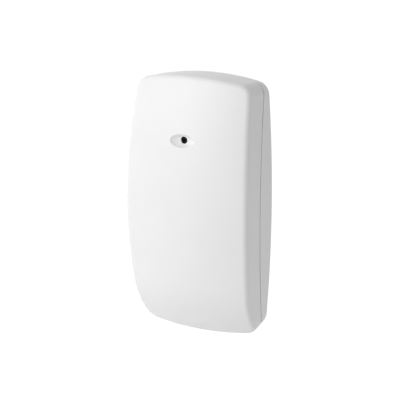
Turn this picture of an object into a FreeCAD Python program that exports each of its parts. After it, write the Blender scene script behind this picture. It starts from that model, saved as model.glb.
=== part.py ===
import FreeCAD, Part
import math
import os

# Wall mounted glass break sensor, in millimetres.
# +X is to the right seen from the front, the front faces -Y, +Z is up.
# The origin is the middle of the back face, on the wall.

# Housing outline, seen from the front
housing_height = 108.0
housing_width = 56.6
widest_above_middle = 2.0
side_bow_radius = 607.0
top_bow_radius = 115.0
bottom_bow_radius = 275.0
top_corner_radius = 5.8
bottom_corner_radius = 6.1
bottom_slant = 17.0
top_slant = 2.5
bottom_lowest_depth = 7.3

# Front surface
housing_depth = 26.2
bulge_above_middle = 2.3
long_bow_radius = 181.0
crown_radius = 95.0
roll_length = 22.0
roll_radius = 35.0
front_edge_radius = 2.4

# Walls, and the joint line between cover and base
cover_wall = 2.0
base_wall = 2.0
floor_thickness = 2.0
parting_depth = 10.2
parting_above_middle = 0.5
parting_bow_radius = 198.0
parting_gap = 0.5
lip_thickness = 0.9
lip_height = 2.0
lip_clearance = 0.2
lip_from_top = 8.0
lip_from_bottom = 10.0

# Hooks at the top that the cover swings on
hook_inner_radius = 3.4
hook_thickness = 1.2
hook_width = 6.0
hook_offset = 12.0
hook_clearance = 0.2
hook_tip_angle = -8.0
hook_root_angle = 68.0
cradle_thickness = 1.5
cradle_depth = 5.6
cradle_horn_drop = 3.6

# Snap tongue at the bottom
tongue_width = 10.0
tongue_thickness = 1.2
tongue_length = 4.4
tongue_clearance = 0.6
barb_height = 0.35
barb_length = 1.0
catch_depth = 0.5
catch_play = 0.4
release_slot_width = 8.0
release_slot_depth = 1.6

# Microphone port
port_height = 29.3
port_diameter = 3.0
port_length = 1.2
dimple_length = 11.7
dimple_height = 5.4
dimple_lead = 0.7
dimple_edge_radius = 0.35
port_backing = 1.3
duct_diameter = 8.4
screen_diameter = 5.0
screen_thickness = 0.4
screen_play = 0.1

# Fixing holes and cable entry in the floor of the base
wall_hole_diameter = 4.2
wall_hole_from_end = 10.0
wall_hole_rim = 9.0
wall_hole_rim_height = 0.4
cable_entry_width = 11.0
cable_entry_height = 7.0
cable_entry_offset = 13.5
cable_entry_from_end = 9.0
cable_entry_corner = 1.5

# Circuit board on its posts
board_width = 46.0
board_height = 78.0
board_thickness = 1.6
board_corner_radius = 2.0
board_standoff = 4.0
post_diameter = 6.0
post_from_edge = 3.6
pin_diameter = 2.4
pin_rise = 1.0
pilot_diameter = 1.9
board_hole_diameter = 2.7
screw_length = 4.6
screw_head_diameter = 4.6
screw_head_height = 1.7
screw_head_bevel = 0.75
screw_slot_width = 0.6
screw_slot_depth = 0.7

# Microphone and its boot
capsule_diameter = 9.7
capsule_height = 6.5
capsule_lift = 0.5
capsule_rim = 0.5
capsule_lead_diameter = 0.5
capsule_lead_pitch = 2.5
boot_wall = 1.2
boot_front = 2.0
boot_play = 0.1
duct_gap = 0.2

# Terminal block
terminal_ways = 8
terminal_pitch = 3.5
terminal_end_wall = 0.5
terminal_depth = 7.0
terminal_rise = 7.0
terminal_from_edge = 1.0
terminal_well_diameter = 2.9
terminal_well_depth = 2.2
terminal_screw_head = 2.6
terminal_screw_height = 1.3
terminal_screw_shank = 1.4
terminal_entry_width = 2.5
terminal_entry_height = 3.4
terminal_entry_lift = 1.0
terminal_entry_length = 5.2
terminal_chamfer = 1.2
clamp_wall = 0.35
clamp_play = 0.1

# Adjuster for the sensitivity
trimmer_size = 6.6
trimmer_rise = 4.6
trimmer_x = 15.5
trimmer_z = 12.0
rotor_diameter = 4.4
rotor_thickness = 1.1
rotor_stem_diameter = 1.6
rotor_stem_length = 1.4
rotor_play = 0.06
rotor_slot_width = 0.7
rotor_slot_depth = 0.6

# Tamper switch and the cover's post that presses it
tamper_x = 15.5
tamper_z = -14.0
tamper_size = 6.2
tamper_rise = 3.6
tamper_collar_diameter = 4.8
tamper_collar_height = 0.8
plunger_diameter = 3.0
plunger_flange_diameter = 4.0
plunger_flange_height = 0.8
plunger_rise = 7.6
plunger_play = 0.06
plunger_travel = 1.0
plunger_rest_gap = 0.3
tamper_post_diameter = 4.0
tamper_post_gap = 0.1

# Jumper pins and their shunts
jumper_pitch = 2.54
jumper_pins = 3
jumper_pin_width = 0.64
jumper_pin_rise = 8.0
jumper_body_rise = 2.5
jumper_body_width = 2.4
jumper_x = -18.0
jumper_z_places = (13.0, 3.0)
shunt_cover = 0.6
shunt_play = 0.06

# Chips, capacitors and the other parts on the board
lead_thickness = 0.2
lead_lift = 0.1
lead_foot = 0.25
controller_place = (0.0, 8.0)
controller_size = (7.0, 7.0, 1.4)
controller_pins = 8
controller_pitch = 0.8
amplifier_place = (-12.0, 22.0)
amplifier_size = (5.0, 4.0, 1.5)
amplifier_pins = 4
amplifier_pitch = 1.27
relay_place = (-13.0, -14.0)
relay_size = (14.0, 8.4, 5.2)
relay_pins = 5
relay_pitch = 2.2
regulator_place = (3.0, -16.0)
regulator_size = (6.5, 3.5, 1.6)
regulator_tab = (3.0, 1.7)
regulator_pins = 3
regulator_pitch = 2.3
can_diameter = 6.3
can_rise = 7.7
can_seat_height = 1.0
can_seat_size = 6.6
can_neck = 0.35
can_places = ((3.0, -24.5), (13.5, -25.0), (14.0, 24.0))
crystal_place = (0.0, -1.5)
crystal_size = (11.0, 4.6, 3.4)
crystal_rim = 0.5
diode_size = (4.4, 2.7, 2.2)
diode_lead = 0.9
diode_places = ((-14.0, -25.5), (-6.0, -25.5))
led_size = (3.4, 2.8, 1.8)
led_places = ((11.5, 33.0), (-11.5, 33.0))
led_lens_diameter = 2.4
led_lens_depth = 0.8
chip_size = (2.0, 1.25, 0.6)
chip_end = 0.4
chip_end_rise = 0.06
chip_rows = ((-11.0, 3.0), (8.4, 3.0), (-10.5, 12.0))
chip_count = 3
chip_spacing = 2.6
boot_row_x = -2.5
boot_row_gap = 0.8

# Helper lengths: one longer than the whole sensor, and one past its ends
reach = 200.0
profile_overrun = 3.0

V = FreeCAD.Vector
up = V(0, 0, 1)
forward = V(0, -1, 0)
across = V(1, 0, 0)
half_width = housing_width / 2
half_height = housing_height / 2
board_back = floor_thickness + board_standoff
board_front = board_back + board_thickness


# Basic shapes
def rod(radius, point, direction):
    """A cylinder that runs far both ways from a point."""
    start = point - direction * reach
    return Part.makeCylinder(radius, 2 * reach, start, direction)


def box(x_range, depth_range, z_range):
    """A block between two values on each axis; depth is measured forward from the wall."""
    corner = V(x_range[0], -depth_range[1], z_range[0])
    sizes = [high - low for low, high in (x_range, depth_range, z_range)]
    return Part.makeBox(sizes[0], sizes[1], sizes[2], corner)


def disc(diameter, x, z, depth_range):
    """A round boss, pin or hole whose axis points forward."""
    start = V(x, -depth_range[0], z)
    return Part.makeCylinder(diameter / 2, depth_range[1] - depth_range[0], start, forward)


def fuse_all(shapes):
    """One shape from several that touch or overlap."""
    return shapes[0].fuse(list(shapes[1:])).removeSplitter()


def write(name, shape):
    """Save a sub-part, as a single solid or as a group of separate ones."""
    solids = shape.Solids
    whole = solids[0] if len(solids) == 1 else Part.makeCompound(solids)
    whole.exportStep("parts/" + name + ".step")
    print(name, len(solids), "solids", round(whole.Volume, 1), "mm3", whole.isValid())


# Housing form
def top_rod(inset):
    """The slanted cylinder over the housing: its surface rises a little towards the front."""
    slant = math.radians(top_slant)
    direction = V(0, -math.cos(slant), math.sin(slant))
    inward = V(0, -math.sin(slant), -math.cos(slant))
    centre = V(0, 0, half_height) + inward * top_bow_radius
    return rod(top_bow_radius - inset, centre, direction)


def bottom_rod(inset):
    """The slanted cylinder under the housing: its surface rises towards the wall."""
    slant = math.radians(bottom_slant)
    direction = V(0, -math.cos(slant), -math.sin(slant))
    inward = V(0, -math.sin(slant), math.cos(slant))
    centre = V(0, -bottom_lowest_depth, -half_height) + inward * bottom_bow_radius
    bottom = rod(bottom_bow_radius - inset, centre, direction)
    bottom.rotate(centre, direction, 180)
    return bottom


def outline_prism(inset):
    """A bar with the housing's front outline, drawn in by inset, with rounded corners."""
    side_centre = side_bow_radius - half_width
    bar = rod(side_bow_radius - inset, V(-side_centre, 0, widest_above_middle), forward)
    bar = bar.common(rod(side_bow_radius - inset, V(side_centre, 0, widest_above_middle), forward))
    bar = bar.common(top_rod(inset))
    bar = bar.common(bottom_rod(inset))
    bar = bar.common(box((-reach, reach), (-reach / 10, reach / 4), (-reach, reach))).Solids[0]
    for side, radius in ((1, top_corner_radius), (-1, bottom_corner_radius)):
        corners = [e for e in bar.Edges if is_corner_edge(e, side)]
        bar = bar.makeFillet(radius - inset, corners)
    return bar


def is_corner_edge(edge, side):
    """True for the edges that run from front to back at the top or bottom corners."""
    limits = edge.BoundBox
    return limits.YLength > reach / 10 and limits.Center.z * side > half_height / 2


def front_solid(inset):
    """The space behind the crowned front surface, drawn in by inset."""
    axis_y = crown_radius - housing_depth
    bow_centre = V(0, long_bow_radius - housing_depth, bulge_above_middle)
    roll_start_z = roll_length - half_height
    roll_angle = math.asin((roll_start_z - bow_centre.z) / long_bow_radius)
    towards = V(0, -math.cos(roll_angle), math.sin(roll_angle))
    roll_centre = bow_centre + towards * (long_bow_radius - roll_radius)
    limit = half_height + profile_overrun
    bow = long_bow_radius - inset
    roll = roll_radius - inset
    top = on_circle(bow_centre, bow, limit)
    middle = on_circle(bow_centre, bow, (roll_start_z - bow_centre.z) / 2)
    joint = bow_centre + towards * bow
    lower = on_circle(roll_centre, roll, (joint.z - limit) / 2)
    end = on_circle(roll_centre, roll, -limit)
    axis_top = V(0, axis_y, limit)
    axis_end = V(0, axis_y, -limit)
    edges = [
        Part.Arc(top, middle, joint).toShape(),
        Part.Arc(joint, lower, end).toShape(),
        Part.makeLine(end, axis_end),
        Part.makeLine(axis_end, axis_top),
        Part.makeLine(axis_top, top),
    ]
    profile = Part.Face(Part.Wire(edges))
    profile.rotate(axis_top, up, 180)
    return profile.revolve(axis_top, up, 360)


def on_circle(centre, radius, z):
    """The foremost point of a circle in the middle plane at a given height."""
    return V(0, centre.y - math.sqrt(radius ** 2 - (z - centre.z) ** 2), z)


def front_depth(z):
    """Depth of the front surface on the centre line, above the rolled bottom."""
    rise = z - bulge_above_middle
    return housing_depth - long_bow_radius + math.sqrt(long_bow_radius ** 2 - rise ** 2)


def housing_form():
    """The whole outer form, with its front edges rounded."""
    form = outline_prism(0).common(front_solid(0))
    form = form.cut(box((-reach, reach), (-reach, 0), (-reach, reach))).Solids[0]
    front = [f for f in form.Faces if isinstance(f.Surface, (Part.Toroid, Part.SurfaceOfRevolution))]
    rim = [e for e in form.Edges if is_front_rim(e, front)]
    return form.makeFillet(front_edge_radius, rim)


def is_front_rim(edge, front_faces):
    """True for an edge that belongs to exactly one of the front faces."""
    shared = [f for f in front_faces if any(edge.isSame(other) for other in f.Edges)]
    return len(shared) == 1


def parting_rod(forward_of_parting):
    """The space behind a surface that runs parallel to the bowed parting line."""
    centre = V(0, parting_bow_radius - parting_depth, parting_above_middle)
    return rod(parting_bow_radius + forward_of_parting, centre, across)


def parting_at(z):
    """Depth of the parting line at a height."""
    rise = z - parting_above_middle
    return parting_depth - parting_bow_radius + math.sqrt(parting_bow_radius ** 2 - rise ** 2)


# Cover
def build_cover(form):
    """The front cover: a thin shell with the sound port, its hooks and its inner posts."""
    cavity = outline_prism(cover_wall).common(front_solid(cover_wall))
    cover = form.cut(parting_rod(parting_gap / 2)).cut(cavity)
    cover = cover.cut(cover_rebate())
    room = form.common(front_solid(cover_wall / 2)).common(outline_prism(cover_wall / 2))
    inner = [port_duct(), port_pad(), tamper_post()]
    cover = cover.fuse([piece.common(room) for piece in inner])
    cover = cover.fuse([hook(side * hook_offset) for side in (-1, 1)])
    cover = cover.cut(dimple())
    cover = soften_dimple(cover)
    cover = cover.cut([port_hole(), screen_bore(), release_slot(), snap_catch()])
    return cover.removeSplitter()


def cover_rebate():
    """Step inside the cover's edge that the base's lip sits in."""
    room = outline_prism(cover_wall - lip_thickness - lip_clearance)
    return room.common(parting_rod(lip_height + lip_clearance))


def pivot():
    """Middle of the line that the cover swings on, just inside its upper rear edge."""
    return V(0, -parting_at(half_height) - parting_gap / 2, half_height)


def ring_sector(inner, outer, x, width, angles):
    """Part of a ring about the swing line; angles run forward from straight down."""
    start = pivot() + across * (x - width / 2)
    sector = Part.makeCylinder(outer, width, start, across, 360)
    sector = sector.cut(Part.makeCylinder(inner, width, start, across, 360))
    corners = [start]
    for angle in (angles[0], (angles[0] + angles[1]) / 2, angles[1]):
        turn = math.radians(angle)
        corners.append(start + V(0, -math.sin(turn), -math.cos(turn)) * outer * 2)
    corners.append(start)
    wedge = Part.Face(Part.makePolygon(corners)).extrude(across * width)
    return sector.common(wedge)


def hook(x):
    """A curled hook that rolls in the base's cradle as the cover swings."""
    outer = hook_inner_radius + hook_thickness
    return ring_sector(hook_inner_radius, outer, x, hook_width, (hook_tip_angle, hook_root_angle))


def port_floor():
    """Depth of the bottom of the dimple round the sound port."""
    return front_depth(port_height) - dimple_height / 2 + dimple_lead


def screen_back():
    """Depth of the rear face of the dust screen."""
    return port_floor() - port_length - screen_thickness


def duct_end():
    """Depth where the duct stops, just in front of the microphone's boot."""
    return boot_front_depth() + duct_gap


def port_duct():
    """Short tube behind the port that leads the sound to the microphone."""
    return disc(duct_diameter, 0, port_height, (duct_end(), front_depth(port_height)))


def port_pad():
    """Thicker wall behind the dimple."""
    half_length = dimple_length / 2 + cover_wall / 2
    half_pad = dimple_height / 2 + cover_wall / 2
    depths = (port_floor() - port_backing, front_depth(port_height))
    pad = box((-half_length, half_length), depths, (port_height - half_pad, port_height + half_pad))
    ends = [e for e in pad.Edges if e.BoundBox.YLength > cover_wall]
    return pad.makeFillet(half_pad * 0.8, ends)


def dimple():
    """Long oval hollow round the sound port."""
    centre = V(0, -front_depth(port_height) - dimple_lead, port_height)
    oval = Part.Ellipse(centre, dimple_length / 2, dimple_height / 2)
    oval.XAxis = across
    half = Part.Arc(oval, 0, math.pi).toShape()
    closing = Part.makeLine(half.Vertexes[-1].Point, half.Vertexes[0].Point)
    return Part.Face(Part.Wire([half, closing])).revolve(centre, across, 360)


def soften_dimple(cover):
    """Round the edge between the dimple and the front surface."""
    rim = [e for e in cover.Edges if is_dimple_rim(e)]
    return cover.makeFillet(dimple_edge_radius, rim)


def is_dimple_rim(edge):
    """True for the edges where the dimple meets the front surface."""
    limits = edge.BoundBox
    near = abs(limits.Center.z - port_height) < dimple_height and abs(limits.Center.x) < dimple_length / 2
    outer = -limits.YMax > front_depth(port_height) - cover_wall / 2
    return near and outer and edge.Length > port_diameter


def port_hole():
    """The sound port itself."""
    return disc(port_diameter, 0, port_height, (screen_back(), housing_depth))


def screen_bore():
    """Bore of the duct, from its end to the seat of the dust screen."""
    bore = screen_diameter + 2 * screen_play
    return disc(bore, 0, port_height, (0, port_floor() - port_length))


def tamper_post():
    """Post that holds the tamper switch down while the cover is closed."""
    end = board_front + plunger_rise + tamper_post_gap
    return disc(tamper_post_diameter, tamper_x, tamper_z, (end, housing_depth))


def release_slot():
    """Slot through the cover's lower edge, for a screwdriver that lifts the tongue."""
    joint = parting_at(-half_height) + parting_gap / 2
    half = release_slot_width / 2
    top = floor_height(joint, cover_wall + tongue_clearance / 2)
    return box((-half, half), (0, joint + release_slot_depth), (-reach, top))


def floor_height(depth, inset):
    """Height of the slanted bottom at a depth, drawn in by inset, on the centre line."""
    slant = math.radians(bottom_slant)
    drop = (depth - bottom_lowest_depth) * math.tan(slant)
    return -half_height - drop + inset / math.cos(slant)


def tongue_section(inset_low, inset_high, start, end):
    """Upright outline that follows the slanted bottom between two insets."""
    corners = [
        V(0, -start, floor_height(start, inset_low)),
        V(0, -end, floor_height(end, inset_low)),
        V(0, -end, floor_height(end, inset_high)),
        V(0, -start, floor_height(start, inset_high)),
    ]
    return Part.Face(Part.makePolygon(corners + corners[:1]))


def barb_range():
    """Depths between which the tongue's barb and the cover's catch lie."""
    end = floor_thickness + tongue_length
    return end - barb_length, end


def snap_catch():
    """Shallow groove in the cover's bottom wall, opposite the barb."""
    start, end = barb_range()
    insets = (cover_wall - catch_depth, cover_wall + barb_height)
    section = tongue_section(*insets, start - catch_play, end + catch_play)
    width = tongue_width + 2 * catch_play
    section.translate(across * (-width / 2))
    return section.extrude(across * width)


# Base
def build_base(form):
    """The rear base: a shallow tray that screws to the wall and carries the board."""
    hollow = outline_prism(base_wall).common(box((-reach, reach), (floor_thickness, reach), (-reach, reach)))
    base = form.common(parting_rod(-parting_gap / 2)).cut(hollow)
    base = base.fuse(base_lip())
    room = outline_prism(base_wall / 2)
    posts = [post(x, z) for x, z in post_places()]
    rims = [wall_hole_ring(z) for z in wall_hole_heights()]
    cradles = [cradle(side * hook_offset).common(room) for side in (-1, 1)]
    base = base.fuse(posts + rims + cradles + [snap_tongue()])
    holes = [disc(wall_hole_diameter, 0, z, (-1, reach / 10)) for z in wall_hole_heights()]
    pilots = [disc(pilot_diameter, x, z, (floor_thickness / 2, board_back)) for x, z in screw_places()]
    return base.cut(holes + pilots + [cable_entry()]).removeSplitter()


def base_lip():
    """Thin lip inside the joint line, along both sides: the cover swings clear of its ends."""
    outer = outline_prism(cover_wall - lip_thickness)
    lip = outer.cut(outline_prism(base_wall)).common(parting_rod(lip_height))
    heights = (lip_from_bottom - half_height, half_height - lip_from_top)
    return lip.common(box((-reach, reach), (floor_thickness / 2, reach), heights))


def cradle(x):
    """Block with a round seat that the cover's hook rolls in."""
    seat = hook_inner_radius + hook_thickness + hook_clearance
    half = hook_width / 2
    top = half_height - cradle_horn_drop
    low = half_height - seat - cradle_thickness
    depths = (floor_thickness / 2, floor_thickness + cradle_depth)
    block = box((x - half, x + half), depths, (low, top))
    return block.cut(rod(seat, pivot(), across))


def snap_tongue():
    """Springy tongue behind the cover's bottom wall, with a low barb."""
    low = cover_wall + tongue_clearance
    start, end = barb_range()
    tongue = tongue_section(low, low + tongue_thickness, floor_thickness / 2, end)
    barb = tongue_section(low - barb_height, low + tongue_thickness / 2, start, end)
    half = V(-tongue_width / 2, 0, 0)
    solids = []
    for section in (tongue, barb):
        section.translate(half)
        solids.append(section.extrude(across * tongue_width))
    return fuse_all(solids)


def wall_hole_heights():
    """Heights of the two screw holes to the wall."""
    return wall_hole_from_end - half_height, half_height - wall_hole_from_end


def wall_hole_ring(z):
    """Low raised ring round a screw hole."""
    return disc(wall_hole_rim, 0, z, (floor_thickness / 2, floor_thickness + wall_hole_rim_height))


def cable_entry():
    """Rectangular way in for the cable, beside the lower screw hole."""
    middle = cable_entry_from_end - half_height
    half_x = cable_entry_width / 2
    half_z = cable_entry_height / 2
    x_range = (-cable_entry_offset - half_x, half_x - cable_entry_offset)
    opening = box(x_range, (-1, floor_thickness + 1), (middle - half_z, middle + half_z))
    return opening.makeFillet(cable_entry_corner, [e for e in opening.Edges if e.BoundBox.YLength > 1])


def post_places():
    """The four posts under the corners of the board."""
    x = board_width / 2 - post_from_edge
    z = board_height / 2 - post_from_edge
    return (-x, z), (x, -z), (x, z), (-x, -z)


def screw_places():
    """The two posts, at opposite corners, that take screws."""
    return post_places()[:2]


def pin_places():
    """The two posts that have locating pins."""
    return post_places()[2:]


def post(x, z):
    """A board post, with a locating pin on two of the four."""
    body = disc(post_diameter, x, z, (floor_thickness / 2, board_back))
    if (x, z) in pin_places():
        body = body.fuse(disc(pin_diameter, x, z, (board_back - 1, board_front + pin_rise)))
    return body


# Board, with what holds it
def build_board():
    """The circuit board, with holes for its screws, pins and microphone leads."""
    half_x = board_width / 2
    half_z = board_height / 2
    board = box((-half_x, half_x), (board_back, board_front), (-half_z, half_z))
    board = board.makeFillet(board_corner_radius, [e for e in board.Edges if e.BoundBox.YLength > 1])
    holes = [disc(board_hole_diameter, x, z, (0, reach)) for x, z in post_places()]
    return board.cut(holes)


def build_board_screws():
    """The two pan head screws that hold the board."""
    return Part.makeCompound([board_screw(x, z) for x, z in screw_places()])


def board_screw(x, z):
    """A small screw with a slotted round head; its thread is left plain."""
    head_top = board_front + screw_head_height
    head = disc(screw_head_diameter, x, z, (board_front, head_top))
    front_edge = [e for e in head.Edges if abs(e.BoundBox.Center.y + head_top) < 0.01]
    head = head.makeChamfer(screw_head_bevel, front_edge)
    shank = disc(pilot_diameter, x, z, (board_front - screw_length, board_front))
    half = screw_slot_width / 2
    slot = box((x - reach, x + reach), (head_top - screw_slot_depth, reach), (z - half, z + half))
    return head.fuse(shank).cut(slot).removeSplitter()


# Microphone
def capsule_back():
    """Depth of the capsule's rear face."""
    return board_front + capsule_lift


def boot_front_depth():
    """Depth of the front face of the rubber boot."""
    return capsule_back() + capsule_height + boot_front


def build_capsule():
    """The microphone capsule: a metal can with a sound opening and two leads."""
    back = capsule_back()
    can = disc(capsule_diameter, 0, port_height, (back, back + capsule_height))
    rim = [e for e in can.Edges if abs(e.BoundBox.Center.y + back + capsule_height) < 0.01]
    can = can.makeChamfer(capsule_rim, rim)
    can = can.cut(disc(port_diameter, 0, port_height, (back + capsule_height - capsule_rim, reach)))
    offset = capsule_lead_pitch / 2
    depths = (board_front, back + capsule_rim)
    leads = [disc(capsule_lead_diameter, x, port_height, depths) for x in (-offset, offset)]
    return can.fuse(leads).removeSplitter()


def build_boot():
    """Rubber boot that seals the capsule against the cover's duct."""
    outer = capsule_diameter + 2 * (boot_play + boot_wall)
    front = boot_front_depth()
    boot = disc(outer, 0, port_height, (board_front, front))
    rim = [e for e in boot.Edges if abs(e.BoundBox.Center.y + front) < 0.01]
    boot = boot.makeChamfer(boot_wall / 2, rim)
    room = disc(capsule_diameter + 2 * boot_play, 0, port_height, (0, front - boot_front + boot_play))
    return boot.cut(room).cut(disc(port_diameter, 0, port_height, (0, reach)))


def build_dust_screen():
    """Fine mesh disc behind the sound port."""
    back = screen_back()
    return disc(screen_diameter, 0, port_height, (back, back + screen_thickness))


# Terminal block
def terminal_centre():
    """Height of the middle of the terminal block."""
    return terminal_from_edge + terminal_depth / 2 - board_height / 2


def terminal_xs():
    """Positions of the ways across the board."""
    middle = (terminal_ways - 1) / 2
    return [(i - middle) * terminal_pitch for i in range(terminal_ways)]


def well_floor():
    """Depth of the floor of the screw wells."""
    return board_front + terminal_rise - terminal_well_depth


def clamp_depths():
    """Rear and front of the clamps inside the wire entries."""
    back = board_front + terminal_entry_lift + clamp_play
    return back, back + terminal_entry_height - 2 * clamp_play


def build_terminal_block():
    """Insulating body with a screw well and a wire entry for each way."""
    half_x = terminal_ways * terminal_pitch / 2 + terminal_end_wall
    middle = terminal_centre()
    half_z = terminal_depth / 2
    top = board_front + terminal_rise
    body = box((-half_x, half_x), (board_front, top), (middle - half_z, middle + half_z))
    long_edges = [e for e in body.Edges if e.BoundBox.XLength > half_x and -e.BoundBox.Center.y > top - 0.1]
    body = body.makeChamfer(terminal_chamfer, long_edges)
    entry_back = board_front + terminal_entry_lift
    cuts = []
    for x in terminal_xs():
        cuts.append(disc(terminal_well_diameter, x, middle, (well_floor(), reach)))
        cuts.append(disc(terminal_screw_shank + 2 * clamp_play, x, middle, (entry_back, reach)))
        x_range = (x - terminal_entry_width / 2, x + terminal_entry_width / 2)
        z_range = (middle - half_z - 1, middle - half_z + terminal_entry_length)
        cuts.append(box(x_range, (entry_back, entry_back + terminal_entry_height), z_range))
    return body.cut(cuts)


def build_terminal_screws():
    """Slotted clamping screws, one in each well."""
    middle = terminal_centre()
    half = screw_slot_width / 2
    screws = []
    for x in terminal_xs():
        top = well_floor() + terminal_screw_height
        head = disc(terminal_screw_head, x, middle, (well_floor(), top))
        shank = disc(terminal_screw_shank, x, middle, (clamp_depths()[0] + clamp_wall * 2, top))
        x_range = (x - terminal_screw_head, x + terminal_screw_head)
        slot = box(x_range, (top - screw_slot_depth, reach), (middle - half, middle + half))
        screws.append(head.fuse(shank).cut(slot).removeSplitter())
    return Part.makeCompound(screws)


def build_terminal_clamps():
    """Metal wire clamps: open square tubes on the screws."""
    middle = terminal_centre()
    low = middle - terminal_depth / 2 + 1
    high = middle - terminal_depth / 2 + terminal_entry_length - clamp_play
    back, front = clamp_depths()
    half = terminal_entry_width / 2 - clamp_play
    clamps = []
    for x in terminal_xs():
        tube = box((x - half, x + half), (back, front), (low, high))
        inner = half - clamp_wall
        window = box((x - inner, x + inner), (back + clamp_wall, front - 2 * clamp_wall), (-reach, reach))
        hole = disc(terminal_screw_shank + clamp_play, x, middle, (front - 3 * clamp_wall, reach))
        clamps.append(tube.cut(window).cut(hole))
    return Part.makeCompound(clamps)


# Adjuster
def rotor_seat():
    """Depth of the floor under the adjuster's rotor."""
    return board_front + trimmer_rise - rotor_thickness


def build_trimmer():
    """Square adjuster body with a round well for its rotor."""
    half = trimmer_size / 2
    x_range = (trimmer_x - half, trimmer_x + half)
    body = box(x_range, (board_front, board_front + trimmer_rise), (trimmer_z - half, trimmer_z + half))
    body = body.makeChamfer(half / 6, [e for e in body.Edges if e.BoundBox.YLength > 1])
    well = disc(rotor_diameter + 2 * rotor_play, trimmer_x, trimmer_z, (rotor_seat(), reach))
    stem_end = rotor_seat() - rotor_stem_length - rotor_play
    stem = disc(rotor_stem_diameter + 2 * rotor_play, trimmer_x, trimmer_z, (stem_end, reach))
    return body.cut(well).cut(stem)


def build_rotor():
    """Turning rotor with a cross slot."""
    top = board_front + trimmer_rise
    rotor = disc(rotor_diameter, trimmer_x, trimmer_z, (rotor_seat(), top))
    stem = disc(rotor_stem_diameter, trimmer_x, trimmer_z, (rotor_seat() - rotor_stem_length, top))
    rotor = rotor.fuse(stem)
    half = rotor_slot_width / 2
    arm = rotor_diameter / 2 - rotor_slot_width / 2
    depths = (top - rotor_slot_depth, reach)
    level = box((trimmer_x - arm, trimmer_x + arm), depths, (trimmer_z - half, trimmer_z + half))
    upright = box((trimmer_x - half, trimmer_x + half), depths, (trimmer_z - arm, trimmer_z + arm))
    return rotor.cut(level).cut(upright).removeSplitter()


# Tamper switch
def build_tamper_switch():
    """Switch body with a round guide for its plunger."""
    half = tamper_size / 2
    x_range = (tamper_x - half, tamper_x + half)
    top = board_front + tamper_rise
    body = box(x_range, (board_front, top), (tamper_z - half, tamper_z + half))
    body = body.makeChamfer(half / 5, [e for e in body.Edges if e.BoundBox.YLength > 1])
    body = body.fuse(disc(tamper_collar_diameter, tamper_x, tamper_z, (top - 1, top + tamper_collar_height)))
    bore = disc(plunger_diameter + 2 * plunger_play, tamper_x, tamper_z, (0, reach))
    chamber_top = board_front + 2 * plunger_rest_gap + plunger_flange_height + plunger_travel
    chamber = disc(plunger_flange_diameter + 2 * plunger_play, tamper_x, tamper_z, (0, chamber_top))
    return body.cut(bore).cut(chamber).removeSplitter()


def build_plunger():
    """Plunger with a flange that keeps it in the switch."""
    back = board_front + plunger_rest_gap
    flange = disc(plunger_flange_diameter, tamper_x, tamper_z, (back, back + plunger_flange_height))
    stem = disc(plunger_diameter, tamper_x, tamper_z, (back, board_front + plunger_rise))
    return flange.fuse(stem).removeSplitter()


# Jumpers
def pin_heights(middle):
    """Heights of the pins of one row."""
    return [middle + (i - (jumper_pins - 1) / 2) * jumper_pitch for i in range(jumper_pins)]


def jumper_pin(z, play=0.0):
    """A square pin, or the hole that fits it with some play."""
    half = jumper_pin_width / 2 + play
    x_range = (jumper_x - half, jumper_x + half)
    return box(x_range, (board_front, board_front + jumper_pin_rise + play), (z - half, z + half))


def build_jumper_pins():
    """The square pins of both rows."""
    return Part.makeCompound([jumper_pin(z) for middle in jumper_z_places for z in pin_heights(middle)])


def build_jumper_strips():
    """Insulating strips that hold the pins."""
    half = jumper_body_width / 2
    x_range = (jumper_x - half, jumper_x + half)
    half_strip = jumper_pins * jumper_pitch / 2
    strips = []
    for middle in jumper_z_places:
        depths = (board_front, board_front + jumper_body_rise)
        strip = box(x_range, depths, (middle - half_strip, middle + half_strip))
        strips.append(strip.cut([jumper_pin(z) for z in pin_heights(middle)]))
    return Part.makeCompound(strips)


def build_shunts():
    """Caps that join the upper two pins of each row."""
    low = board_front + jumper_body_rise
    top = board_front + jumper_pin_rise + shunt_cover
    half = jumper_body_width / 2
    shunts = []
    for middle in jumper_z_places:
        pins = pin_heights(middle)[1:]
        z_range = (pins[0] - jumper_pitch / 2 + shunt_play, pins[1] + jumper_pitch / 2 - shunt_play)
        cap = box((jumper_x - half, jumper_x + half), (low, top), z_range)
        cap = cap.makeChamfer(half / 4, [e for e in cap.Edges if abs(-e.BoundBox.YMax - top) < 0.01])
        shunts.append(cap.cut([jumper_pin(z, shunt_play) for z in pins]))
    return Part.makeCompound(shunts)


# Parts soldered to the face of the board
def moulded_body(place, size, lift=lead_lift):
    """A moulded body with broken edges, standing on the board at a small lift."""
    x, z = place
    width, height, rise = size
    low = board_front + lift
    body = box((x - width / 2, x + width / 2), (low, low + rise), (z - height / 2, z + height / 2))
    return body.makeChamfer(rise / 8, [e for e in body.Edges if e.BoundBox.YLength < 0.01])


def side_leads(place, size, pins, pitch, sides):
    """Bent leads in rows along the named sides of a moulded body."""
    x, z = place
    width, height, rise = size
    solids = []
    for side in sides:
        for i in range(pins):
            step = (i - (pins - 1) / 2) * pitch
            root = V(x + side.x * width / 2 + side.z * step, 0, z + side.z * height / 2 + side.x * step)
            solids.append(bent_lead(root, side, pitch, rise))
    return solids


def bent_lead(root, outward, pitch, rise):
    """A flat lead that leaves the body half way up and bends down to the board."""
    along = up if abs(outward.x) > 0.5 else across
    width = min(pitch * 0.45, rise / 2)
    foot = lead_foot * rise
    mid = board_front + lead_lift + rise / 2
    steps = [
        (0, mid), (foot + lead_thickness, mid), (foot + lead_thickness, board_front + lead_thickness),
        (2 * foot, board_front + lead_thickness), (2 * foot, board_front), (foot, board_front),
        (foot, mid - lead_thickness), (0, mid - lead_thickness),
    ]
    base = root - along * (width / 2)
    corners = [base + outward * out + forward * depth for out, depth in steps]
    section = Part.Face(Part.makePolygon(corners + corners[:1]))
    return section.extrude(along * width)


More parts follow.
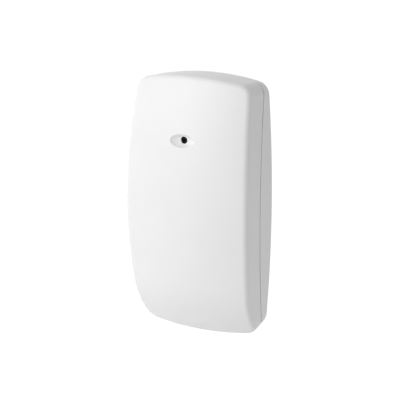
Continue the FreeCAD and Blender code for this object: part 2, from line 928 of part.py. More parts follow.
def build_component_leads():
    """All the leads that stand beside the moulded bodies."""
    top, bottom, left, right = up, -up, -across, across
    four_sides = (top, bottom, left, right)
    leads = side_leads(controller_place, controller_size, controller_pins, controller_pitch, four_sides)
    leads += side_leads(amplifier_place, amplifier_size, amplifier_pins, amplifier_pitch, (top, bottom))
    leads += side_leads(relay_place, relay_size, relay_pins, relay_pitch, (top, bottom))
    leads += side_leads(regulator_place, regulator_size, regulator_pins, regulator_pitch, (bottom,))
    leads.append(regulator_tab_plate())
    for place in diode_places:
        leads += diode_ends(place)
    return Part.makeCompound(leads)


def regulator_tab_plate():
    """Cooling tab of the voltage regulator."""
    x, z = regulator_place
    width, length = regulator_tab
    edge = z + regulator_size[1] / 2
    depths = (board_front, board_front + 2 * lead_thickness)
    return box((x - width / 2, x + width / 2), depths, (edge, edge + length))


def diode_ends(place):
    """Flat end leads of a surge diode."""
    x, z = place
    half = diode_size[0] / 2
    top = board_front + lead_lift + diode_size[2] / 2
    ends = []
    for low in (x - half - lead_thickness, x + half):
        ends.append(box((low, low + lead_thickness), (board_front, top), (z - diode_lead, z + diode_lead)))
    return ends


def can_seat(place):
    """Square plastic seat of a can capacitor."""
    x, z = place
    half = can_seat_size / 2
    seat = box((x - half, x + half), (board_front, board_front + can_seat_height), (z - half, z + half))
    return seat.makeChamfer(half / 4, [e for e in seat.Edges if e.BoundBox.YLength > can_seat_height / 2])


def can_capacitor(place):
    """Aluminium can capacitor with a crimped neck."""
    x, z = place
    radius = can_diameter / 2
    seat_top = board_front + can_seat_height
    neck = seat_top + 2 * can_neck
    top = board_front + can_rise
    points = [
        (0, seat_top), (radius, seat_top), (radius, neck), (radius - can_neck, neck + can_neck),
        (radius, neck + 2 * can_neck), (radius, top - can_neck), (radius - can_neck, top), (0, top),
    ]
    corners = [V(x + out, -depth, z) for out, depth in points]
    profile = Part.Face(Part.makePolygon(corners + corners[:1]))
    return profile.revolve(V(x, 0, z), V(0, 1, 0), 360)


def crystal():
    """Low metal crystal can with a flange."""
    x, z = crystal_place
    length, height, rise = crystal_size
    parts = []
    for grow, top in ((0, rise), (crystal_rim, crystal_rim)):
        half_x = length / 2 - crystal_rim + grow
        half_z = height / 2 - crystal_rim + grow
        can = box((x - half_x, x + half_x), (board_front, board_front + top), (z - half_z, z + half_z))
        ends = [e for e in can.Edges if abs(e.BoundBox.YLength - top) < 0.01 and e.BoundBox.XLength < 0.01]
        parts.append(can.makeFillet(half_z * 0.95, ends))
    return fuse_all(parts)


def status_led(place):
    """Flat lamp with a round lens well."""
    x, z = place
    width, height, rise = led_size
    top = board_front + rise
    body = box((x - width / 2, x + width / 2), (board_front, top), (z - height / 2, z + height / 2))
    radius = led_lens_diameter / 2
    well = Part.makeCone(radius, radius * 0.8, led_lens_depth, V(x, -top, z), V(0, 1, 0))
    return body.cut(well)


def chip_places():
    """Places of the small chips: upright rows, the last of them just below the boot."""
    boot_radius = capsule_diameter / 2 + boot_play + boot_wall
    boot_row_top = port_height - boot_radius - boot_row_gap - chip_size[1] / 2
    rows = chip_rows + ((boot_row_x, boot_row_top - (chip_count - 1) * chip_spacing),)
    return [(x, first + i * chip_spacing) for x, first in rows for i in range(chip_count)]


def small_chip(place):
    """The ceramic middle of a chip resistor or capacitor."""
    x, z = place
    width, height, rise = chip_size
    half = width / 2 - chip_end
    depths = (board_front, board_front + rise - chip_end_rise)
    return box((x - half, x + half), depths, (z - height / 2, z + height / 2))


def chip_ends(place):
    """The two metal ends of a small chip, a little higher than its middle."""
    x, z = place
    width, height, rise = chip_size
    depths = (board_front, board_front + rise)
    z_range = (z - height / 2, z + height / 2)
    lows = (x - width / 2, x + width / 2 - chip_end)
    return [box((low, low + chip_end), depths, z_range) for low in lows]


# Everything, one file for each sub-part
os.makedirs("parts", exist_ok=True)
form = housing_form()
write("front_cover", build_cover(form))
write("rear_base", build_base(form))
write("circuit_board", build_board())
write("board_screws", build_board_screws())
write("microphone_capsule", build_capsule())
write("microphone_boot", build_boot())
write("dust_screen", build_dust_screen())
write("terminal_block", build_terminal_block())
write("terminal_screws", build_terminal_screws())
write("terminal_clamps", build_terminal_clamps())
write("sensitivity_trimmer", build_trimmer())
write("trimmer_rotor", build_rotor())
write("tamper_switch", build_tamper_switch())
write("tamper_plunger", build_plunger())
write("jumper_pins", build_jumper_pins())
write("jumper_strips", build_jumper_strips())
write("jumper_shunts", build_shunts())
write("microcontroller", moulded_body(controller_place, controller_size))
write("audio_amplifier", moulded_body(amplifier_place, amplifier_size))
write("alarm_relay", moulded_body(relay_place, relay_size))
write("voltage_regulator", moulded_body(regulator_place, regulator_size))
write("surge_diodes", Part.makeCompound([moulded_body(place, diode_size) for place in diode_places]))
write("component_leads", build_component_leads())
write("can_capacitors", Part.makeCompound([can_capacitor(place) for place in can_places]))
write("can_seats", Part.makeCompound([can_seat(place) for place in can_places]))
write("crystal", crystal())
write("status_leds", Part.makeCompound([status_led(place) for place in led_places]))
write("small_chips", Part.makeCompound([small_chip(place) for place in chip_places()]))
write("chip_ends", Part.makeCompound([end for place in chip_places() for end in chip_ends(place)]))
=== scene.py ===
import math

import bmesh
import bpy
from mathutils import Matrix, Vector


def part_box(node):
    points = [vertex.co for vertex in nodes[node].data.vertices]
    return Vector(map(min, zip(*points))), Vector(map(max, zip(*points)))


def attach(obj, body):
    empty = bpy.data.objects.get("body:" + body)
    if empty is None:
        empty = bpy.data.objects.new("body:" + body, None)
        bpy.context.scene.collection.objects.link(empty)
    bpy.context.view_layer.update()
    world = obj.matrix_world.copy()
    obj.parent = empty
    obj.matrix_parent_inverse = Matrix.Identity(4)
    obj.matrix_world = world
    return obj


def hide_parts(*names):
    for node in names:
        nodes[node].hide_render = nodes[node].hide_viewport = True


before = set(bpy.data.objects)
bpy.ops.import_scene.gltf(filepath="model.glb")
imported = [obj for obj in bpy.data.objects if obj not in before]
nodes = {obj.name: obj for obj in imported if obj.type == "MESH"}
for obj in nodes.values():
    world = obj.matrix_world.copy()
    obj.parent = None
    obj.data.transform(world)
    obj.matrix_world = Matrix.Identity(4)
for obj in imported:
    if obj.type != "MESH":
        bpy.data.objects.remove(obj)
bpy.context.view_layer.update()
mm = 0.001

# Camera, where the photograph was taken from
camera_azimuth = 29.9
camera_elevation = 13.56
camera_distance = 0.6549
camera_target = (0.0, -0.01007, 0.0019)
camera_lens = 143.5
camera_shift = (0.0017, 0.0012)
camera_near = 0.01

# Lamps: azimuth and elevation in degrees as seen from the object, then strength
lamps = {
    "key": (-27, 20, 0.475),
    "upper": (-64, 57, 0.12),
    "side": (-78, 5, 0.12),
    "rim": (-125, 10, 0.14),
    "right": (78, -8, 0.12),
    "low": (-30, -24, 0.16),
}
lamp_distance = 1.4
lamp_size = 0.8
sky_strength = 0.38
floor_glow = 0.72
floor_drop = 0.6
floor_radius = 9.0
floor_sides = 64

# Surfaces: the part of a noise's range that is spread over colour and gloss, and the grain of brushed metal
noise_low = 0.3
noise_high = 0.7
least_roughness = 0.05
brushed = (1, 1, 14)
brushed_upright = (14, 1, 1)

# Meshes: points nearer than this, in metres, are one; sides of a circle; sharpest corner of a strip
merge_distance = 1e-7
ring_steps = 32
sharpest_mitre = 0.5

# Board details, in millimetres; each reaches a little into what carries it
sunk = 0.01
trace_width = 0.34
trace_rise = 0.045
via_radius = 0.42
via_hole = 0.2
via_rise = 0.05
pad_radius = 2.9
pad_hole = 1.45
pad_rise = 0.04
print_width = 0.16
print_rise = 0.02
terminal_pitch = 3.5
jumper_pitch = 2.54
controller_pitch = 0.8

# Distance of the printed outlines from whole nodes and from each solid of a node, in millimetres
outlined_nodes = {
    "terminal_block": 0.3, "sensitivity_trimmer": 0.35, "tamper_switch": 0.35, "crystal": 0.35,
    "alarm_relay": 1.9, "microcontroller": 1.2,
}
outlined_solids = {"jumper_strips": 0.3, "can_seats": 0.3, "surge_diodes": 0.5, "status_leds": 0.35}

# Lamp lenses, in millimetres and radians
lens_depth = 0.78
lens_foot_radius = 0.94
lens_radius = 1.17
lens_lip = 0.06
dome_radius = 1.1
dome_height = 0.3
dome_angles = (0.3, 0.6, 0.9, 1.2, 1.4)

# Segment on a can capacitor, in millimetres and degrees
mark_inset = 0.4
mark_rise = 0.015
mark_start = 120
mark_sweep = 120
mark_steps = 16

# Dust screen, in millimetres
wire_pitch = 0.3
wire_radius = 0.06
wire_sides = 6
steps_per_pitch = 5
screen_rim = 0.35

# Black bush in the sound port, a lining whose black is painted shade that darkens the port, in millimetres
shade_bush_radius = 1.48
shade_bush_wall = 0.14
shade_bush_length = 1.04
shade_bush_edge = 0.05


def node_box(name):
    """Lowest and highest corners of a CAD node, in millimetres."""
    low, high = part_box(name)
    return low / mm, high / mm


def solid_boxes(name):
    """Boxes of the separate solids of a CAD node, in millimetres, from left to right."""
    mesh = bmesh.new()
    mesh.from_mesh(nodes[name].data)
    bmesh.ops.remove_doubles(mesh, verts=mesh.verts, dist=merge_distance)
    unseen = set(mesh.verts)
    boxes = []
    while unseen:
        stack = [unseen.pop()]
        found = []
        while stack:
            vert = stack.pop()
            found.append(vert.co / mm)
            for edge in vert.link_edges:
                other = edge.other_vert(vert)
                if other in unseen:
                    unseen.remove(other)
                    stack.append(other)
        low = Vector([min(point[i] for point in found) for i in range(3)])
        high = Vector([max(point[i] for point in found) for i in range(3)])
        boxes.append((low, high))
    mesh.free()
    return sorted(boxes, key=lambda pair: (round(pair[0].x, 2), round(pair[0].z, 2)))


# Mesh building
class Builder:
    """Collects faces for one piece, in millimetres."""

    def __init__(self):
        self.points = []
        self.faces = []

    def add(self, points, faces):
        """Adds points and the faces between them."""
        start = len(self.points)
        self.points.extend(points)
        self.faces.extend([[start + i for i in face] for face in faces])

    def plate(self, outline, back, front):
        """A flat plate with an outline given as (x, z) pairs, between two depths."""
        count = len(outline)
        points = [(x, -depth, z) for depth in (back, front) for x, z in outline]
        faces = [list(range(count))[::-1], list(range(count, 2 * count))]
        faces += [[i, (i + 1) % count, count + (i + 1) % count, count + i] for i in range(count)]
        self.add(points, faces)

    def tube(self, x, z, rows):
        """A round hollow form whose axis points forward; rows are (radius, depth) pairs round its wall."""
        circle = [(math.cos(a), math.sin(a)) for a in steps(ring_steps)]
        points = [(x + c * radius, -depth, z + s * radius) for radius, depth in rows for c, s in circle]
        self.add(points, loop_faces(len(rows), ring_steps, closed=True))

    def ring(self, x, z, inner, outer, back, front):
        """A flat ring."""
        self.tube(x, z, [(outer, back), (outer, front), (inner, front), (inner, back)])

    def lathe(self, x, z, profile):
        """A turned form whose axis points forward; profile is (radius, depth) pairs, axis to axis."""
        circle = [(math.cos(a), math.sin(a)) for a in steps(ring_steps)]
        inner = profile[1:-1]
        points = [(x + c * radius, -depth, z + s * radius) for radius, depth in inner for c, s in circle]
        points += [(x, -profile[0][1], z), (x, -profile[-1][1], z)]
        faces = loop_faces(len(inner), ring_steps, closed=False)
        first, last = len(points) - 2, len(points) - 1
        row = (len(inner) - 1) * ring_steps
        for i in range(ring_steps):
            j = (i + 1) % ring_steps
            faces.append([first, j, i])
            faces.append([last, row + i, row + j])
        self.add(points, faces)

    def wire(self, path, side, radius):
        """A thin wire through (x, depth, z) points, closed at its ends; side is the way across it."""
        points = []
        for x, depth, z in path:
            for turn in steps(wire_sides):
                out = radius * math.cos(turn)
                points.append((x + side[0] * out, -depth - radius * math.sin(turn), z + side[1] * out))
        faces = loop_faces(len(path), wire_sides, closed=False)
        last = len(points) - wire_sides
        faces.append(list(range(wire_sides)))
        faces.append(list(range(last, last + wire_sides)))
        self.add(points, faces)

    def ribbon(self, path, width, back, front):
        """A flat strip that follows a path of (x, z) pairs."""
        left, right = [], []
        for i, (x, z) in enumerate(path):
            before = path[max(i - 1, 0)]
            after = path[min(i + 1, len(path) - 1)]
            sides = [unit(x - before[0], z - before[1]), unit(after[0] - x, after[1] - z)]
            sides = [side for side in sides if side]
            mean = unit(sum(s[0] for s in sides), sum(s[1] for s in sides))
            reach = width / 2 / max(sharpest_mitre, mean[0] * sides[0][0] + mean[1] * sides[0][1])
            left.append((x - mean[1] * reach, z + mean[0] * reach))
            right.append((x + mean[1] * reach, z - mean[0] * reach))
        for i in range(len(path) - 1):
            self.plate([left[i], right[i], right[i + 1], left[i + 1]], back, front)

    def finish(self, name, body, material, smooth=False, replaced=()):
        """Makes the piece, outward facing, riding on its body."""
        mesh = bpy.data.meshes.new(name)
        mesh.from_pydata([tuple(Vector(p) * mm) for p in self.points], [], self.faces)
        work = bmesh.new()
        work.from_mesh(mesh)
        bmesh.ops.recalc_face_normals(work, faces=work.faces)
        work.to_mesh(mesh)
        work.free()
        piece = bpy.data.objects.new(name, mesh)
        bpy.context.scene.collection.objects.link(piece)
        mesh.materials.append(material)
        if smooth:
            mesh.shade_smooth()
        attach(piece, body)
        if replaced:
            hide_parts(*replaced)


def steps(count):
    """Evenly spaced angles round a circle."""
    return [2 * math.pi * i / count for i in range(count)]


def unit(x, z):
    """A direction of length one, or None for a point."""
    length = math.hypot(x, z)
    return (x / length, z / length) if length > 1e-9 else None


def loop_faces(rows, count, closed):
    """Faces between rows of points that run round in circles."""
    faces = []
    for row in range(rows if closed else rows - 1):
        after = (row + 1) % rows
        for i in range(count):
            j = (i + 1) % count
            faces.append([row * count + i, row * count + j, after * count + j, after * count + i])
    return faces


# Materials
def add_node(tree, kind, inputs=None, **settings):
    """A node with its settings and the values of its inputs."""
    node = tree.nodes.new(kind)
    for key, value in settings.items():
        setattr(node, key, value)
    for key, value in (inputs or {}).items():
        node.inputs[key].default_value = value
    return node


def surface(name, colour, roughness, grain=900, depth=0.02, metallic=0.0, stretch=(1, 1, 1),
            shade=0.04, blotch=60, rough_spread=0.06, level=0.5, extra=None):
    """A procedural surface: faint blotches of colour, uneven gloss and a fine bump of its own scale.

    grain and blotch are features per metre, depth is the bump's height in millimetres.
    """
    material = bpy.data.materials.new(name)
    material.use_nodes = True
    tree = material.node_tree
    tree.nodes.clear()
    link = tree.links.new
    output = tree.nodes.new("ShaderNodeOutputMaterial")
    shader = add_node(tree, "ShaderNodeBsdfPrincipled", {"Metallic": metallic, "Specular IOR Level": level})
    for key, value in (extra or {}).items():
        shader.inputs[key].default_value = value
    place = tree.nodes.new("ShaderNodeTexCoord")
    scaled = add_node(tree, "ShaderNodeMapping", {"Scale": stretch})
    link(place.outputs["Object"], scaled.inputs["Vector"])
    broad = add_node(tree, "ShaderNodeTexNoise", {"Scale": blotch, "Detail": 3, "Roughness": 0.55})
    fine = add_node(tree, "ShaderNodeTexNoise", {"Scale": grain, "Detail": 4, "Roughness": 0.6})
    link(scaled.outputs["Vector"], fine.inputs["Vector"])
    link(place.outputs["Object"], broad.inputs["Vector"])
    tint = add_node(tree, "ShaderNodeValToRGB")
    low, high = tint.color_ramp.elements
    low.position = noise_low
    high.position = noise_high
    low.color = [c * (1 - shade) for c in colour] + [1]
    high.color = [min(1, c * (1 + shade / 2)) for c in colour] + [1]
    link(broad.outputs["Fac"], tint.inputs["Fac"])
    link(tint.outputs["Color"], shader.inputs["Base Color"])
    gloss = add_node(tree, "ShaderNodeMapRange", {
        "From Min": noise_low, "From Max": noise_high,
        "To Min": max(least_roughness, roughness - rough_spread), "To Max": roughness + rough_spread,
    })
    link(fine.outputs["Fac"], gloss.inputs["Value"])
    link(gloss.outputs["Result"], shader.inputs["Roughness"])
    bump = add_node(tree, "ShaderNodeBump", {"Strength": 1.0, "Distance": depth * mm})
    link(fine.outputs["Fac"], bump.inputs["Height"])
    link(bump.outputs["Normal"], shader.inputs["Normal"])
    link(shader.outputs["BSDF"], output.inputs["Surface"])
    return material


materials = {
    "housing": surface("housing_plastic", (0.86, 0.86, 0.86), 0.42, grain=5200, depth=0.012, shade=0.012,
                       blotch=45, rough_spread=0.05),
    "board": surface("solder_mask", (0.02, 0.16, 0.06), 0.32, grain=3000, depth=0.006, shade=0.2, blotch=220),
    "trace": surface("covered_copper", (0.045, 0.27, 0.1), 0.28, grain=3000, depth=0.006, shade=0.1,
                     blotch=400),
    "print": surface("white_print", (0.75, 0.76, 0.72), 0.6, grain=5000, depth=0.01, shade=0.1, blotch=900),
    "screw_steel": surface("zinc_steel", (0.5, 0.5, 0.48), 0.34, grain=1500, depth=0.01, metallic=1.0,
                           shade=0.12, blotch=500),
    "capsule_metal": surface("satin_aluminium", (0.62, 0.62, 0.62), 0.38, grain=2500, depth=0.008,
                             metallic=1.0, stretch=brushed, shade=0.08),
    "boot_rubber": surface("black_rubber", (0.022, 0.022, 0.024), 0.72, grain=2600, depth=0.03, shade=0.25,
                           blotch=300, level=0.3),
    "screen_mesh": surface("blackened_wire", (0.012, 0.012, 0.013), 0.6, grain=9000, depth=0.002, shade=0.2,
                           blotch=2000, level=0.3),
    "terminal_body": surface("green_nylon", (0.02, 0.2, 0.1), 0.45, grain=1800, depth=0.02, shade=0.12,
                             blotch=200),
    "clamp_metal": surface("tinned_clamp", (0.54, 0.53, 0.5), 0.36, grain=1600, depth=0.01, metallic=1.0,
                           stretch=brushed, shade=0.1),
    "trimmer_body": surface("blue_nylon", (0.02, 0.1, 0.4), 0.42, grain=1800, depth=0.02, shade=0.12,
                            blotch=200),
    "trimmer_rotor": surface("ivory_plastic", (0.78, 0.74, 0.62), 0.3, grain=2500, depth=0.01, shade=0.05),
    "switch_body": surface("black_nylon", (0.03, 0.03, 0.032), 0.45, grain=1800, depth=0.02, shade=0.2),
    "switch_plunger": surface("pale_acetal", (0.72, 0.72, 0.68), 0.34, grain=2200, depth=0.01, shade=0.05),
    "pin_metal": surface("gold_plate", (0.8, 0.6, 0.24), 0.28, grain=2400, depth=0.006, metallic=1.0,
                         shade=0.08),
    "strip_black": surface("black_strip", (0.025, 0.025, 0.027), 0.5, grain=2000, depth=0.02, shade=0.2),
    "shunt_black": surface("black_shunt", (0.02, 0.02, 0.024), 0.3, grain=2000, depth=0.015, shade=0.2),
    "chip_black": surface("chip_moulding", (0.028, 0.028, 0.03), 0.62, grain=5200, depth=0.02, shade=0.2,
                          blotch=500),
    "relay_body": surface("cream_moulding", (0.72, 0.69, 0.58), 0.34, grain=2200, depth=0.012, shade=0.05),
    "lead_tin": surface("tinned_leads", (0.54, 0.54, 0.52), 0.32, grain=2600, depth=0.01, metallic=1.0,
                        shade=0.12, blotch=900),
    "can_metal": surface("bright_aluminium", (0.62, 0.62, 0.62), 0.26, grain=2400, depth=0.006, metallic=1.0,
                         stretch=brushed, shade=0.06),
    "crystal_metal": surface("nickel_can", (0.52, 0.51, 0.48), 0.28, grain=1800, depth=0.008, metallic=1.0,
                             stretch=brushed_upright, shade=0.08),
    "led_body": surface("lamp_body", (0.82, 0.81, 0.74), 0.4, grain=2500, depth=0.01, shade=0.05),
    "lens": surface("lamp_lens", (0.85, 0.8, 0.5), 0.12, grain=2500, depth=0.003, shade=0.08,
                    extra={"Transmission Weight": 0.45, "IOR": 1.5}),
    "chip_ceramic": surface("tan_ceramic", (0.28, 0.2, 0.12), 0.55, grain=4000, depth=0.012, shade=0.2,
                            blotch=700),
    "can_mark": surface("black_mark", (0.02, 0.02, 0.022), 0.5, grain=4000, depth=0.01, shade=0.2),
}

node_slots = {
    "front_cover": "housing", "rear_base": "housing", "circuit_board": "board",
    "board_screws": "screw_steel", "microphone_capsule": "capsule_metal", "microphone_boot": "boot_rubber",
    "dust_screen": "screen_mesh", "terminal_block": "terminal_body", "terminal_screws": "screw_steel",
    "terminal_clamps": "clamp_metal", "sensitivity_trimmer": "trimmer_body",
    "trimmer_rotor": "trimmer_rotor", "tamper_switch": "switch_body", "tamper_plunger": "switch_plunger",
    "jumper_pins": "pin_metal", "jumper_strips": "strip_black", "jumper_shunts": "shunt_black",
    "microcontroller": "chip_black", "audio_amplifier": "chip_black", "alarm_relay": "relay_body",
    "voltage_regulator": "chip_black", "surge_diodes": "chip_black", "component_leads": "lead_tin",
    "can_capacitors": "can_metal", "can_seats": "strip_black", "crystal": "crystal_metal",
    "status_leds": "led_body", "small_chips": "chip_ceramic", "chip_ends": "lead_tin",
}
for name, slot in node_slots.items():
    nodes[name].data.materials.clear()
    nodes[name].data.materials.append(materials[slot])


# Details on the board
board_front = -node_box("circuit_board")[0].y


def dogleg(start, end, turn):
    """A route that leaves upright, crosses at 45 degrees from a height and ends upright."""
    x0, z0 = start
    x1, z1 = end
    drop = abs(x1 - x0) * (1 if z1 > z0 else -1)
    return [(x0, z0), (x0, turn), (x1, turn + drop), (x1, z1)]


def sideways(start, end, turn):
    """A route that leaves level, crosses at 45 degrees from a place and ends level."""
    x0, z0 = start
    x1, z1 = end
    drop = abs(z1 - z0) * (1 if x1 > x0 else -1)
    return [(x0, z0), (turn, z0), (turn + drop, z1), (x1, z1)]


def bundle(route, count, start, start_step, end, end_step, turn, turn_step):
    """Tracks side by side, each a step on from the one before."""
    return [
        route((start[0] + start_step[0] * i, start[1] + start_step[1] * i),
              (end[0] + end_step[0] * i, end[1] + end_step[1] * i), turn + turn_step * i)
        for i in range(count)
    ]


def track_routes():
    """The tracks as paths of (x, z) pairs, in millimetres."""
    terminals = (terminal_pitch, 0)
    jumpers = (0, -jumper_pitch)
    across = (controller_pitch, 0)
    down = (0, -controller_pitch)
    routes = []
    # From the terminals to the relay and to the regulator
    routes += bundle(dogleg, 5, (-12.85, -30.6), terminals, (-17.4, -19.6), (2.2, 0), -29.2, 0.55)
    routes += bundle(dogleg, 3, (5.25, -30.6), terminals, (0.7, -18.9), (2.3, 0), -28.0, 0.7)
    # From the jumpers to the controller
    routes += bundle(sideways, 6, (-16.2, 16.6), jumpers, (-4.6, 10.8), down, -15.4, 0.5)
    # From the controller to the microphone, the adjuster, the relay and the tamper switch
    routes += bundle(dogleg, 5, (-2.8, 12.6), across, (-4.6, 22.4), (2.3, 0), 15.2, -0.3)
    routes += bundle(sideways, 5, (4.6, 10.0), down, (12.0, 16.4), (0, -2.0), 5.4, 0.45)
    routes += bundle(dogleg, 4, (-2.8, 3.4), across, (-9.8, -8.6), (2.2, 0), 2.4, -0.55)
    routes += bundle(dogleg, 2, (2.8, 3.4), (-controller_pitch, 0), (14.6, -10.6), (-1.4, 0), 2.3, -0.8)
    # Round the amplifier and the status lamps
    routes.append([(-13.9, 24.9), (-13.9, 28.2), (-11.5, 30.6), (-11.5, 31.4)])
    routes.append([(-12.6, 24.9), (-12.6, 25.8), (-9.6, 28.8), (-7.4, 28.8)])
    routes.append([(11.5, 31.4), (11.5, 29.6), (9.2, 27.3), (7.2, 27.3)])
    return routes


def make_traces():
    """Copper tracks under the solder mask, with vias at their ends."""
    tracks = Builder()
    vias = Builder()
    for route in track_routes():
        tracks.ribbon(route, trace_width, board_front - sunk, board_front + trace_rise)
        for x, z in (route[0], route[-1]):
            vias.ring(x, z, via_hole, via_radius, board_front - sunk, board_front + via_rise)
    tracks.finish("board_tracks", "base", materials["trace"])
    vias.finish("board_vias", "base", materials["lead_tin"])


def frame_line(printed, low, high, margin):
    """A printed outline round a part that stands on the board."""
    x0, x1 = low.x - margin, high.x + margin
    z0, z1 = low.z - margin, high.z + margin
    for path in (((x0, z0), (x1, z0)), ((x1, z0), (x1, z1)), ((x1, z1), (x0, z1)), ((x0, z1), (x0, z0))):
        printed.ribbon(path, print_width, board_front - sunk, board_front + print_rise)


def make_print():
    """Plain printed outlines round the parts."""
    printed = Builder()
    for name, margin in outlined_nodes.items():
        frame_line(printed, *node_box(name), margin)
    for name, margin in outlined_solids.items():
        for low, high in solid_boxes(name):
            frame_line(printed, low, high, margin)
    printed.finish("board_print", "base", materials["print"])


def make_pads():
    """Bare tinned rings round the board's fixing holes."""
    pads = Builder()
    for low, high in solid_boxes("board_screws"):
        middle = (low + high) / 2
        for x in (middle.x, -middle.x):
            pads.ring(x, middle.z, pad_hole, pad_radius, board_front - sunk, board_front + pad_rise)
    pads.finish("board_pads", "base", materials["lead_tin"])


def make_lenses():
    """Clear domes in the wells of the lamps."""
    lenses = Builder()
    for low, high in solid_boxes("status_leds"):
        middle = (low + high) / 2
        foot = -low.y - lens_depth
        lip = -low.y - lens_lip
        profile = [(0, foot), (lens_foot_radius, foot), (lens_radius, lip)]
        profile += [(dome_radius * math.cos(a), lip + dome_height * math.sin(a)) for a in dome_angles]
        profile.append((0, lip + dome_height))
        lenses.lathe(middle.x, middle.z, profile)
    lenses.finish("lamp_lenses", "base", materials["lens"], smooth=True)


def make_can_marks():
    """Black segments printed on the tops of the can capacitors."""
    marks = Builder()
    angles = [math.radians(mark_start + mark_sweep * i / mark_steps) for i in range(mark_steps + 1)]
    for low, high in solid_boxes("can_capacitors"):
        middle = (low + high) / 2
        radius = (high.x - low.x) / 2 - mark_inset
        outline = [(middle.x + radius * math.cos(a), middle.z + radius * math.sin(a)) for a in angles]
        marks.plate(outline, -low.y - sunk, -low.y + mark_rise)
    marks.finish("can_marks", "base", materials["can_mark"])


def make_screen():
    """The dust screen as woven wires in a rim, each passing over and under those it crosses."""
    low, high = node_box("dust_screen")
    middle = (low + high) / 2
    outer = (high.x - low.x) / 2
    reach = outer - screen_rim / 2
    screen = Builder()
    screen.ring(middle.x, middle.z, outer - screen_rim, outer, -high.y, -low.y)
    count = int(reach / wire_pitch)
    for row in range(-count, count + 1):
        offset = row * wire_pitch
        half = math.sqrt(reach ** 2 - offset ** 2)
        stretch = int(half / wire_pitch * steps_per_pitch) + 1
        along = [half * i / stretch for i in range(-stretch, stretch + 1)]
        for upright in (True, False):
            rise = wire_radius * (-1) ** row * (1 if upright else -1)
            path = []
            for step in along:
                depth = -middle.y + rise * math.cos(math.pi * step / wire_pitch)
                x, z = (offset, step) if upright else (step, offset)
                path.append((middle.x + x, depth, middle.z + z))
            screen.wire(path, (1, 0) if upright else (0, 1), wire_radius)
    screen.finish("woven_screen", "cover", materials["screen_mesh"], smooth=True,
                  replaced=("dust_screen",))


def make_port_shade_bush():
    """A black rubber bush lining the sound port in front of the dust screen; its black is painted shade that
    darkens the port.
    """
    low, high = node_box("dust_screen")
    middle = (low + high) / 2
    back = -low.y
    front = back + shade_bush_length
    inner = shade_bush_radius - shade_bush_wall
    bush = Builder()
    bush.tube(middle.x, middle.z, [
        (shade_bush_radius, back), (shade_bush_radius, front - shade_bush_edge), (shade_bush_radius - shade_bush_edge, front),
        (inner + shade_bush_edge, front), (inner, front - shade_bush_edge), (inner, back),
    ])
    bush.finish("port_shade_bush", "cover", materials["boot_rubber"])


make_screen()
# The port bush is a black lining that serves as painted shade in the sound port
make_port_shade_bush()
make_traces()
make_print()
make_pads()
make_lenses()
make_can_marks()


# Studio
def direction(azimuth, elevation):
    """A direction from the object, with azimuth measured to the right of its front."""
    turn, rise = math.radians(azimuth), math.radians(elevation)
    return Vector((math.sin(turn) * math.cos(rise), -math.cos(turn) * math.cos(rise), math.sin(rise)))


def make_camera():
    """The camera at the photograph's viewing angle."""
    data = bpy.data.cameras.new("camera")
    data.lens = camera_lens
    data.shift_x, data.shift_y = camera_shift
    data.clip_start = camera_near
    camera = bpy.data.objects.new("camera", data)
    bpy.context.scene.collection.objects.link(camera)
    back = direction(camera_azimuth, camera_elevation)
    camera.location = Vector(camera_target) + back * camera_distance
    camera.rotation_euler = back.to_track_quat("Z", "Y").to_euler()
    bpy.context.scene.camera = camera


def make_lamp(name, azimuth, elevation, strength):
    """A soft square lamp; a strength of 1 lights a facing white surface to full white."""
    data = bpy.data.lights.new(name, "AREA")
    data.size = lamp_size
    data.energy = strength * math.pi ** 2 * lamp_distance ** 2
    lamp = bpy.data.objects.new(name, data)
    towards = direction(azimuth, elevation)
    lamp.location = towards * lamp_distance
    lamp.rotation_euler = towards.to_track_quat("Z", "Y").to_euler()
    lamp.visible_camera = False
    bpy.context.scene.collection.objects.link(lamp)


def seen_rays(tree):
    """A value of 1 for what the camera sees, straight on, by a reflection or through glass."""
    path = tree.nodes.new("ShaderNodeLightPath")
    total = path.outputs["Is Camera Ray"]
    for name in ("Is Glossy Ray", "Is Transmission Ray"):
        either = add_node(tree, "ShaderNodeMath", operation="MAXIMUM")
        tree.links.new(total, either.inputs[0])
        tree.links.new(path.outputs[name], either.inputs[1])
        total = either.outputs["Value"]
    return total


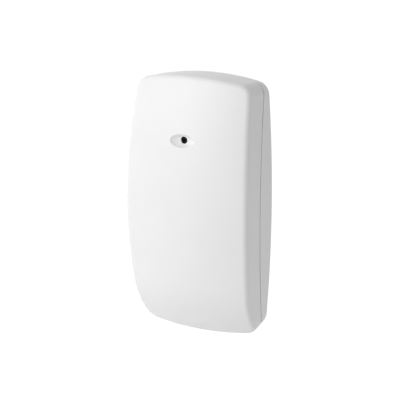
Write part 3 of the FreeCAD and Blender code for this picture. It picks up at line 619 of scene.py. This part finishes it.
def make_world():
    """Even light from all sides, white where it is seen."""
    world = bpy.data.worlds.new("world")
    world.use_nodes = True
    tree = world.node_tree
    tree.nodes.clear()
    output = tree.nodes.new("ShaderNodeOutputWorld")
    sky = add_node(tree, "ShaderNodeBackground", {"Color": (1, 1, 1, 1), "Strength": sky_strength})
    white = add_node(tree, "ShaderNodeBackground", {"Color": (1, 1, 1, 1), "Strength": 1.0})
    mix = tree.nodes.new("ShaderNodeMixShader")
    tree.links.new(seen_rays(tree), mix.inputs["Fac"])
    tree.links.new(sky.outputs["Background"], mix.inputs[1])
    tree.links.new(white.outputs["Background"], mix.inputs[2])
    tree.links.new(mix.outputs["Shader"], output.inputs["Surface"])
    bpy.context.scene.world = world


def make_floor():
    """A pale floor well below the object, white where it is seen and still open to shadows."""
    material = bpy.data.materials.new("floor")
    material.use_nodes = True
    tree = material.node_tree
    tree.nodes.clear()
    output = tree.nodes.new("ShaderNodeOutputMaterial")
    matt = add_node(tree, "ShaderNodeBsdfDiffuse", {"Color": (0.82, 0.82, 0.82, 1), "Roughness": 0.5})
    glow = add_node(tree, "ShaderNodeEmission", {"Color": (1, 1, 1, 1)})
    level = add_node(tree, "ShaderNodeMath", operation="MULTIPLY")
    level.inputs[1].default_value = floor_glow
    tree.links.new(seen_rays(tree), level.inputs[0])
    tree.links.new(level.outputs["Value"], glow.inputs["Strength"])
    both = tree.nodes.new("ShaderNodeAddShader")
    tree.links.new(matt.outputs["BSDF"], both.inputs[0])
    tree.links.new(glow.outputs["Emission"], both.inputs[1])
    tree.links.new(both.outputs["Shader"], output.inputs["Surface"])
    mesh = bpy.data.meshes.new("floor")
    rim = [(floor_radius * math.cos(a), floor_radius * math.sin(a), -floor_drop) for a in steps(floor_sides)]
    mesh.from_pydata(rim, [], [list(range(len(rim)))])
    mesh.materials.append(material)
    floor = bpy.data.objects.new("floor", mesh)
    bpy.context.scene.collection.objects.link(floor)


make_camera()
make_world()
make_floor()
for name, (azimuth, elevation, strength) in lamps.items():
    make_lamp(name, azimuth, elevation, strength)
bpy.context.scene.view_settings.view_transform = "Standard"
